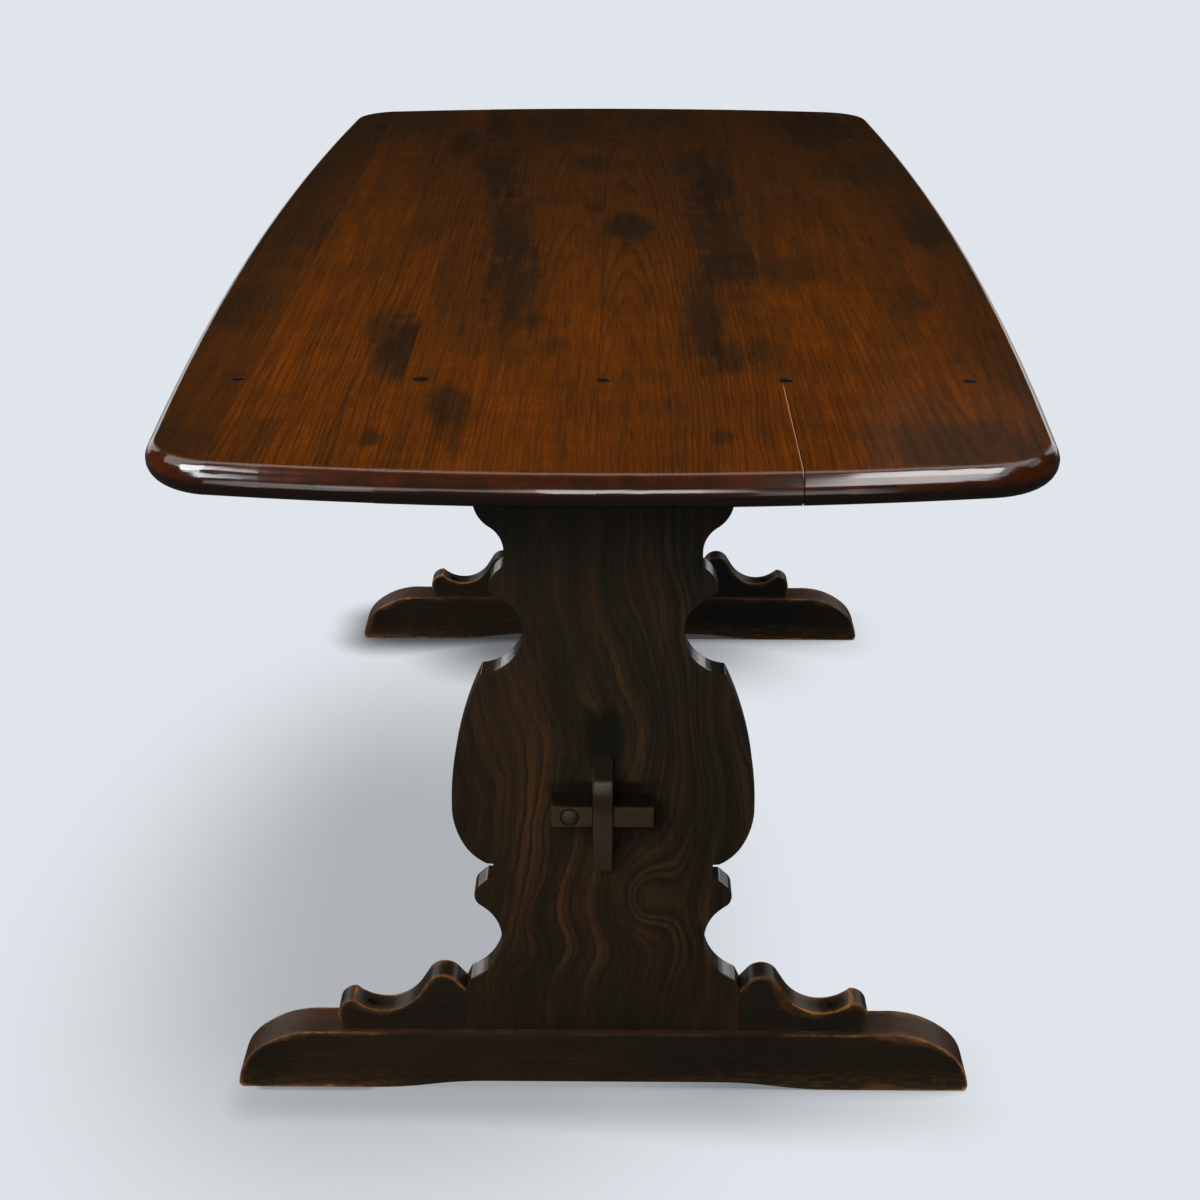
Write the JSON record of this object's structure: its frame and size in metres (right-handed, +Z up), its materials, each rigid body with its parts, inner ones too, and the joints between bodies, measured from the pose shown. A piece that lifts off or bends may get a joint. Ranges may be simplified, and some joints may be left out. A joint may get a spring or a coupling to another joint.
{
  "type": "trestle dining table",
  "caption": "Dining table with a boat-shaped plank top on two sawn trestles, joined by a keyed stretcher.",
  "frame": {"origin": "on the floor, under the middle of the top", "axes": "+Z up, +Y along the table from the near trestle to the far one, +X to the right seen from the near end"},
  "size_m": [0.7564, 1.5406, 0.71],
  "materials": {
    "top_elm": "dark red-brown stain under a high-gloss polish",
    "trestle_elm": "very dark brown stain, satin, worn to orange-brown on the arrises",
    "plug_wood": "long-grain plugs polished with the top",
    "key_wood": "satin brown stain",
    "screw_steel": "plain steel"
  },
  "bodies": {
    "table": {"top_board_1": "top_elm", "top_board_2": "top_elm", "top_board_3": "top_elm", "top_board_4": "top_elm", "top_board_5": "top_elm", "stretcher": "trestle_elm", "near_top_plugs": "plug_wood", "near_top_screws": "screw_steel", "near_bearer": "trestle_elm", "near_panel": "trestle_elm", "near_foot": "trestle_elm", "near_left_bracket": "trestle_elm", "near_right_bracket": "trestle_elm", "near_bracket_screws": "screw_steel", "near_tenon_peg": "key_wood", "far_top_plugs": "plug_wood", "far_top_screws": "screw_steel", "far_bearer": "trestle_elm", "far_panel": "trestle_elm", "far_foot": "trestle_elm", "far_left_bracket": "trestle_elm", "far_right_bracket": "trestle_elm", "far_bracket_screws": "screw_steel", "far_tenon_peg": "key_wood"},
    "near_key_body": {"near_key": "key_wood"},
    "far_key_body": {"far_key": "key_wood"}
  },
  "joints": [
    {"name": "near_key_lift", "type": "slide", "parent": "table", "child": "near_key_body", "axis": [0, 0, 1], "range_m": [0, 0.08]},
    {"name": "far_key_lift", "type": "slide", "parent": "table", "child": "far_key_body", "axis": [0, 0, 1], "range_m": [0, 0.08]}
  ]
}
